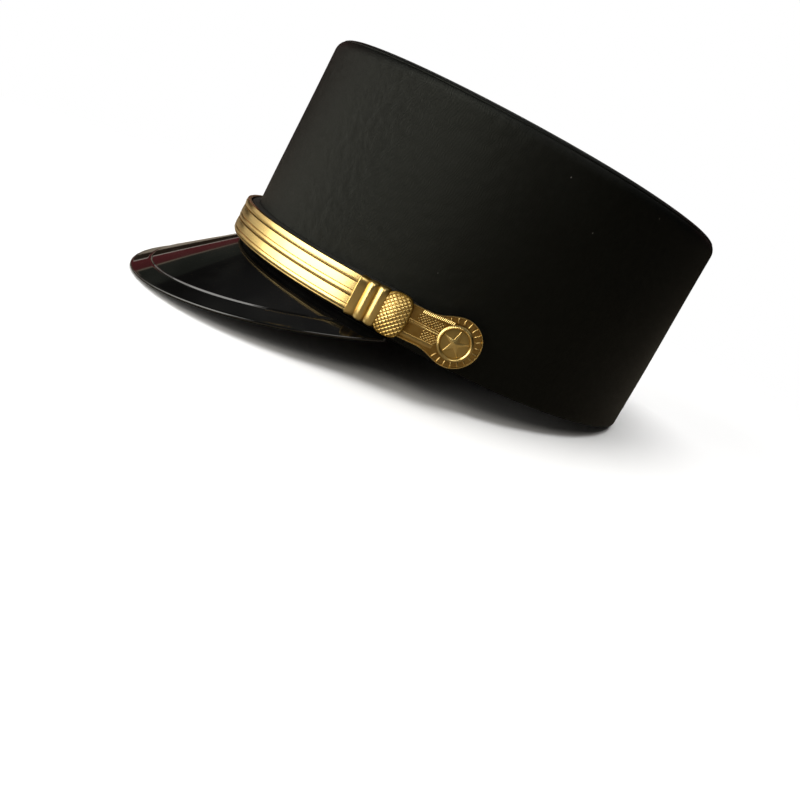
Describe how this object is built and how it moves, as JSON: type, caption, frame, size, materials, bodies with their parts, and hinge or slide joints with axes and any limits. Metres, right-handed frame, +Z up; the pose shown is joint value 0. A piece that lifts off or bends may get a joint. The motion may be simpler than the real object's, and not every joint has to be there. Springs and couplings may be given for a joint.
{
  "type": "doorman cap",
  "caption": "Stiff black round cap with a flat top, a glossy visor and a ribbed gold strap held by a slider, a tab and a star button at each side.",
  "frame": {"origin": "on the surface that the cap stands on, under the middle of its bounding box", "axes": "+Z up; the visor points along -Y; +X is the wearer's left. The cap stands on the visor's front edge and the back of its rim, so its rim is tipped 7.3 degrees, front up."},
  "size_m": [0.1842, 0.2536, 0.117],
  "materials": {
    "crown_cloth": "matte woven",
    "visor_patent": "patent gloss",
    "band_black": "satin",
    "gold_polished": "polished",
    "gold_satin": "satin",
    "gold_aged": "semi-gloss"
  },
  "bodies": {
    "root": {"crown_side": "crown_cloth", "crown_top": "crown_cloth", "visor": "visor_patent", "strap_backing": "band_black", "gold_strap": "gold_polished", "slider_left": "gold_satin", "slider_right": "gold_satin", "end_tab_left": "gold_aged", "end_tab_right": "gold_aged", "button_left": "gold_satin", "button_right": "gold_satin"}
  },
  "joints": []
}
